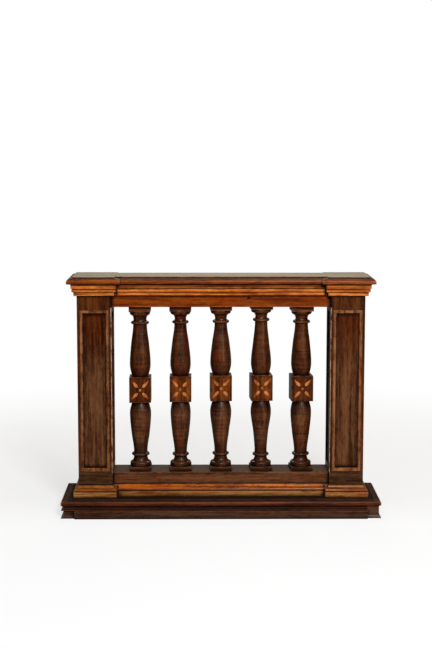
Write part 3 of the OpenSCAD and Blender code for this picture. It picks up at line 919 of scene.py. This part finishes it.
# The soft boxes, each with the setting of its power, its place, its size and its tint
SOFT_BOXES = {
    "Key": ("key_power", (0.7, -3.5, 2.45), (0.8, 0.9), WHITE),
    "Top": ("top_power", (0.1, -0.9, 2.9), (2.6, 1.4), WHITE),
    "Fill": ("fill_power", (-1.3, -3.4, 2.3), (0.9, 1.2), WHITE),
    "Strip": ("strip_power", (1.9, -2.9, 1.2), (0.15, 2.0), (1.0, 0.82, 0.62)),
    "Back": ("back_power", (0.0, 2.9, 2.6), (1.8, 1.0), (1.0, 0.92, 0.78)),
    "Left end": ("end_power", (-3.0, 0.0, 1.8), (0.5, 1.2), WHITE),
    "Right end": ("end_power", (3.0, 0.0, 1.8), (0.5, 1.2), WHITE),
}


class BALUSTRADE_OT_plinth(bpy.types.Operator):
    """Finish the platform, its nosing, mouldings and skirts"""
    bl_idname = "balustrade.plinth"
    bl_label = "Plinth"

    def execute(self, context):
        settings = context.scene.balustrade
        wood, sizes = settings.wood, settings.joinery
        tones, skirts = wood.pair("plinth"), wood.pair("skirt")
        # The plinth's faces that look up are painted shade
        more = {"fine": 64, "faded": wood.plinth_faded}
        board = finish_pair("Plinth walnut", *tones, "X", shine=0.42, **more)
        end_board = finish_pair("Plinth end walnut", *tones, "Y", shine=0.42, **more)
        platform = finish_pair(
            "Platform walnut", *tones, "X", shine=0.5, **more,
            # Painted shade over the platform's top
            quirks=[(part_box("plinth_platform")[1].z, sizes.fine_quirk)])
        hollow = finish_pair("Hollow walnut", *wood.pair("hollow"), "X", shine=0.5, fine=64,
                             rub=0.2)
        end_hollow = finish_pair("End hollow walnut", *skirts, "level", fine=64, rub=0.1)
        skirt = walnut("Skirt walnut", *skirts, "X", shine=0.34, fine=90, figure=0.9,
                       rub=0.1)
        eased_node("plinth_platform", platform, "plinth_walnut", sizes)
        for face in FACES:
            eased_node("plinth_nosing_" + face, board, "plinth_walnut", sizes)
            eased_node("plinth_moulding_" + face, hollow, "plinth_walnut", sizes)
            eased_node("plinth_skirt_" + face, (skirt, skirt), "dark_walnut", sizes,
                       board=True)
        for side in SIDES:
            eased_node("plinth_nosing_" + side, end_board, "plinth_walnut", sizes)
            eased_node("plinth_moulding_" + side, end_hollow, "plinth_walnut", sizes)
        core = cad("plinth_core")
        core.materials.clear()
        core.materials.append(skirt)
        return {"FINISHED"}


class BALUSTRADE_OT_posts(bpy.types.Operator):
    """Finish the panelled posts and the beads around their panels"""
    bl_idname = "balustrade.posts"
    bl_label = "Posts"

    def execute(self, context):
        settings = context.scene.balustrade
        wood, sizes = settings.wood, settings.joinery
        low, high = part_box("post_left_beads")
        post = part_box("post_left_case")
        sill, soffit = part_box("base_rail")[1].z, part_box("top_rail")[0].z
        glint_edge, beside_rail = (inward(reach - post[1].x, soft)
                                  for reach, soft in (GLINT_EDGE, BESIDE_RAIL))
        field, foot, head = sunk(*post), under(low.z), over(high.z)
        height, shade = high.z - low.z, sizes.panel_shade
        top = both(field, over(low.z + height * PANEL_TOP, height * CHANGE))
        # Painted shade in the panels under the top bead and over the bottom bead, and on the
        # posts beside the top rail
        dark = (both(field, over(high.z - shade, shade / 3)),
                both(field, under(low.z + shade, shade / 3)),
                both(over(soffit), beside_rail))
        case = finish_pair(
            "Post walnut", *wood.pair("post"), "Z", figure=1.0, fine=56, rub=1.0,
            # A painted reflection of the white room on the arrises towards the opening,
            # between the rails
            rubbed=both(glint_edge, both(over(sill), under(soffit))), bare=wood.bare,
            crossed=foot,
            areas=((foot, *wood.pair("post_foot")),
                   (head, *wood.pair("post_head")),
                   (field, *wood.pair("panel")),
                   (top, *wood.pair("panel_top")),
                   *((part, wood.shadow, wood.post_deep) for part in dark)),
            # Painted shade where the case meets the base moulding
            quirks=[(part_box("post_left_base")[1].z, sizes.deep_quirk)])
        bead = finish_pair("Bead walnut", *wood.pair("bead"), "Z",
                           # Painted shade on both sides of each bead's crown
                           areas=[(flank, *wood.pair("flank"))])
        for side in SIDES:
            eased_node(f"post_{side}_case", case, "dark_walnut", sizes, board=True)
            eased_node(f"post_{side}_beads", bead, "moulding_walnut", sizes)
        return {"FINISHED"}


class BALUSTRADE_OT_mouldings(bpy.types.Operator):
    """Finish the base and cap mouldings of posts and rails"""
    bl_idname = "balustrade.mouldings"
    bl_label = "Mouldings"

    def execute(self, context):
        settings = context.scene.balustrade
        wood, sizes = settings.wood, settings.joinery
        joint = (wood.shadow, wood.shadow)
        low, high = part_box("post_left_cap")
        lower, upper = (low.z + share * (high.z - low.z) for share in CAP_QUIRKS)
        member = both(inward(-high.x), over(upper))
        cap = finish_pair(
            "Cap moulding walnut", *wood.pair("moulding"), "level", shine=0.22, fine=64,
            areas=[(member, *wood.pair("upper_member")),
                   (seam(-high.x, MOULDING_SEAM), *joint)],
            # Painted shade along the moulding's quirks and at its lower and upper edges
            quirks=[(low.z, sizes.quirk), (lower, sizes.fine_quirk),
                    (upper, sizes.quirk), (high.z, sizes.quirk)])
        ledge = ledge_of("post_left_base")
        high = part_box("post_left_base")[1]
        rise = high.z - ledge
        posts, block = outward(-high.x), under(ledge)
        foot = finish_pair(
            "Foot moulding walnut", *wood.pair("foot"), "level", shine=0.22, fine=64,
            rub=0.2,
            areas=[(posts, *wood.pair("post_ogee")),
                   # Painted shade low in the hollow of the ogee
                   (under(ledge + rise * OGEE_DIP, rise * CHANGE), *wood.pair("ogee_dip")),
                   (block, *wood.pair("foot_block")),
                   (both(posts, block), *wood.pair("post_block")),
                   (seam(-high.x, MOULDING_SEAM), *joint)],
            # Painted shade in the quirk over the block and where the moulding meets the post
            # or rail above
            quirks=[(ledge + sizes.quirk, sizes.quirk), (high.z, sizes.quirk)])
        for side in SIDES:
            eased_node(f"post_{side}_base", foot, "moulding_walnut", sizes)
            eased_node(f"post_{side}_cap", cap, "moulding_walnut", sizes)
        for face in FACES:
            eased_node("base_rail_moulding_" + face, foot, "moulding_walnut", sizes)
            eased_node("top_rail_moulding_" + face, cap, "moulding_walnut", sizes)
        return {"FINISHED"}


class BALUSTRADE_OT_rails(bpy.types.Operator):
    """Finish the base rail, the top rail and the cap boards"""
    bl_idname = "balustrade.rails"
    bl_label = "Rails and cap boards"

    def execute(self, context):
        settings = context.scene.balustrade
        wood, sizes = settings.wood, settings.joinery
        joint = (wood.shadow, wood.shadow)
        end = seam(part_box("base_rail")[1].x, RAIL_SEAM)
        base = walnut(
            "Base rail walnut", *wood.pair("base_rail"), "X", fine=90, figure=1.0,
            faded=wood.rail_faded, rub=0.25, areas=[(end, *joint)],
            # Painted shade where the rail meets the base moulding
            quirks=[(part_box("base_rail_moulding_front")[1].z, sizes.deep_quirk)])
        rail = finish_pair("Rail walnut", *wood.pair("rail"), "X", fine=64, figure=1.1,
                           areas=[(end, *joint), (spot(*RAIL_KNOT), *joint)])
        low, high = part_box("cap_board_middle")
        cap = finish_pair(
            # The cap boards' tops are greyed polish with a painted reflection of the white
            # room
            "Cap walnut", *wood.pair("cap"), "X", shine=0.26, fine=64, faded=wood.faded,
            areas=[(seam(-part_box("cap_board_left")[1].x, BOARD_SEAM), *joint),
                   *((spot(*mark), wood.cap_deep, wood.cap_deep) for mark in CAP_MARKS)],
            # Painted shade under the cap boards' nosing, and a dark line along the quirk
            # under their top
            quirks=[(low.z, sizes.deep_quirk), (high.z - sizes.fillet, sizes.quirk)])
        eased_node("base_rail", (base, base), "dark_walnut", sizes, board=True)
        eased_node("top_rail", rail, "rail_walnut", sizes, board=True)
        for part in ("left", "middle", "right"):
            eased_node("cap_board_" + part, cap, "cap_walnut", sizes)
        return {"FINISHED"}


class BALUSTRADE_OT_balusters(bpy.types.Operator):
    """Turn the balusters between their squared plates and blocks"""
    bl_idname = "balustrade.balusters"
    bl_label = "Balusters"

    def execute(self, context):
        settings = context.scene.balustrade
        sizes, crease = settings.turning, settings.joinery.crease
        materials = self.finishes(settings.wood)
        values = {"facets": sizes.facets, "wood": materials[0]}
        tree = lathe_tree()
        for node in BALUSTERS:
            axis, twist, half, heights = stock_of(node)
            shape = bmesh.new()
            for k in TURNINGS:
                outline = outline_of(node, axis, half, heights[k], heights[k + 1])
                points = [(radius, 0.0, height) for radius, height in outline]
                edges = [(n, n + 1) for n in range(len(points) - 1)]
                take_in(shape, grown(points, edges, tree, values))
            bmesh.ops.recalc_face_normals(shape, faces=shape.faces)
            for face in shape.faces:
                face.smooth = True
                face.material_index = 0
            for k, face_slot, arris_slot in STOCK:
                squared(shape, half, heights[k], heights[k + 1], sizes.stock_arris, crease,
                        face_slot, arris_slot)
            stand(shape, axis, twist)
            piece = shown_as(shape, node + "_turned", materials, "turned_walnut", node)
            weigh_normals(piece, crease)
        bpy.data.node_groups.remove(tree)
        return {"FINISHED"}

    def finishes(self, wood):
        """The finishes of the turnings, of the block and its arrises and of the plates."""
        *_, heights = stock_of(BALUSTERS[0])
        low, high, above_block = heights[1:4]
        span = high - low
        change = span * TURNED_CHANGE
        turned = walnut(
            "Turned walnut", *wood.pair("turned"), "Z", shine=0.28, gloss=0.1, figure=0.7,
            turned=0.5, warm=0.7, reach=0.03,
            areas=[(under(low + span * TURNED_FOOT, change), *wood.pair("ring")),
                   # Painted shade on the lower turning just under the block
                   (over(low + span * SHOULDER, change), *wood.pair("shoulder")),
                   (over(above_block), *wood.pair("belly")),
                   # Painted shade on the sides that look to the ends
                   (sideways(0.25, 0.70, 0.45), wood.round_side, wood.round_side)])
        outer = outward(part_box(BALUSTERS[-1])[0].x)
        block, arris = (
            walnut(name, *wood.pair("block"), "Z", shine=0.22, dark_border=dark_border, rub=0.3,
                   areas=[(outer, *wood.pair("outer_block")),
                          # A painted reflection of the white room on the blocks' sides
                          (sideways(0.90, 0.97), *wood.pair("block_side"))])
            for name, dark_border in (("Block walnut", 0.9), ("Block arris", 0.6)))
        head = walnut("Head plate walnut", *wood.pair("plate"), "level", shine=0.26,
                      painted_shade=0.5)
        foot = walnut("Foot plate walnut", *wood.pair("base_rail"), "level", shine=0.34,
                      fine=64, faded=wood.rail_faded, dark_border=0.5, rub=0.2)
        return turned, block, arris, head, foot


class BALUSTRADE_OT_stars(bpy.types.Operator):
    """Inlay the stars in the front and the back of each block"""
    bl_idname = "balustrade.stars"
    bl_label = "Inlaid stars"

    def execute(self, context):
        settings = context.scene.balustrade
        wood, sizes = settings.wood, settings.star
        light = walnut("Inlay wood", *wood.pair("inlay"), "Z", shine=0.3,
                       areas=[(towards_tip, *wood.pair("tip"))])
        values = {name: getattr(sizes, name) for name in STAR_SIZES}
        tree = star_tree()
        for node in BALUSTERS:
            axis, twist, half, heights = stock_of(node)
            shape = bmesh.new()
            values.update(block_half=half, wood=light)
            take_in(shape, grown([(0.0, 0.0, 0.0)], [], tree, values))
            bmesh.ops.recalc_face_normals(shape, faces=shape.faces)
            stand(shape, axis, twist, (heights[2] + heights[3]) / 2)
            shown_as(shape, node + "_star", (light,), "light_inlay", node + "_inlay")
        bpy.data.node_groups.remove(tree)
        return {"FINISHED"}


class BALUSTRADE_OT_studio(bpy.types.Operator):
    """Lay the floor, hang the lamps and stand the camera"""
    bl_idname = "balustrade.studio"
    bl_label = "Studio"

    def execute(self, context):
        scene = context.scene
        settings = scene.balustrade.studio
        self.floor(settings)
        self.surround(scene, settings)
        for name, (setting, place, size, tint) in SOFT_BOXES.items():
            self.soft_box(name, getattr(settings, setting), place, size, tint)
        camera = bpy.data.cameras.new("Camera")
        camera.lens = settings.lens
        camera.sensor_width = 36
        camera.clip_end = 60
        holder = placed("Camera", camera)
        holder.location = settings.stand
        holder.rotation_euler = Euler(settings.aim)
        scene.camera = holder
        scene.view_settings.view_transform = "Standard"
        return {"FINISHED"}

    def floor(self, settings):
        """A pale floor that goes over into the white room around it."""
        finish = Finish(bpy.data.materials.new("Studio floor"))
        x, y, _ = finish.place()
        white = finish.node("ShaderNodeEmission", sockets={"Strength": 1.0})
        seen = finish.seen(settings.sheen)
        shade = FLOOR_SHADE - LESS_BEFORE * finish.step(y, BEHIND, BEFORE)
        fade = 1.0 - shade * finish.step(finish.distance(x, y), WHITE_FROM, PALES_FROM)
        tone = finish.blend(seen, tuple(settings.bounce), tuple(settings.floor))
        matt = finish.node("ShaderNodeBsdfDiffuse", sockets={"Color": tone})
        shader = finish.node("ShaderNodeMixShader", sockets={
            0: seen * fade, 1: matt, 2: white})
        shape = bmesh.new()
        bmesh.ops.create_grid(shape, x_segments=8, y_segments=8, size=FLOOR_SIZE)
        mesh = mesh_of(shape, "Studio floor")
        mesh.materials.append(finish.end("ShaderNodeOutputMaterial", shader))
        ground = placed("Studio floor", mesh)

    def surround(self, scene, settings):
        """A white room for the eye that lights the wood more gently."""
        room = Finish(bpy.data.worlds.new("White room"))
        seen = room.seen(settings.sheen)
        strength = seen * (1.0 - settings.surround) + settings.surround
        light = room.node("ShaderNodeBackground", sockets={
            "Color": (1.0, 1.0, 1.0, 1.0), "Strength": strength})
        scene.world = room.end("ShaderNodeOutputWorld", light)

    def soft_box(self, name, watts, place, size, tint):
        """A square lamp that faces the middle of the balustrade."""
        lamp = bpy.data.lights.new(name, "AREA")
        lamp.shape = "RECTANGLE"
        lamp.size, lamp.size_y = size
        lamp.energy = watts
        lamp.color = tint
        holder = placed(name, lamp)
        holder.location = place
        middle = (CAD_BOX[0] + CAD_BOX[1]) / 2
        holder.rotation_euler = (Vector(place) - middle).to_track_quat("Z", "Y").to_euler()


OPERATORS = (
    BALUSTRADE_OT_plinth, BALUSTRADE_OT_posts, BALUSTRADE_OT_mouldings,
    BALUSTRADE_OT_rails, BALUSTRADE_OT_balusters, BALUSTRADE_OT_stars,
    BALUSTRADE_OT_studio)


class BALUSTRADE_PT_panel(bpy.types.Panel):
    """Lists the steps and the settings of the balustrade."""
    bl_idname = "BALUSTRADE_PT_panel"
    bl_label = "Balustrade"
    bl_space_type = "VIEW_3D"
    bl_region_type = "UI"
    bl_category = "Balustrade"

    def draw(self, context):
        settings = context.scene.balustrade
        for step in OPERATORS:
            self.layout.operator(step.bl_idname)
        for name, group in GROUPS.items():
            box = self.layout.box()
            box.label(text=name.capitalize())
            for key in group.__annotations__:
                box.prop(getattr(settings, name), key)


CLASSES = (*GROUPS.values(), BalustradeSettings, *OPERATORS, BALUSTRADE_PT_panel)


def register():
    for made in CLASSES:
        bpy.utils.register_class(made)
    bpy.types.Scene.balustrade = PointerProperty(type=BalustradeSettings)


def unregister():
    del bpy.types.Scene.balustrade
    for made in reversed(CLASSES):
        bpy.utils.unregister_class(made)


def main():
    """Builds everything in order."""
    register()
    for step in OPERATORS:
        group, name = step.bl_idname.split(".")
        getattr(getattr(bpy.ops, group), name)()


if __name__ == "__main__":
    main()
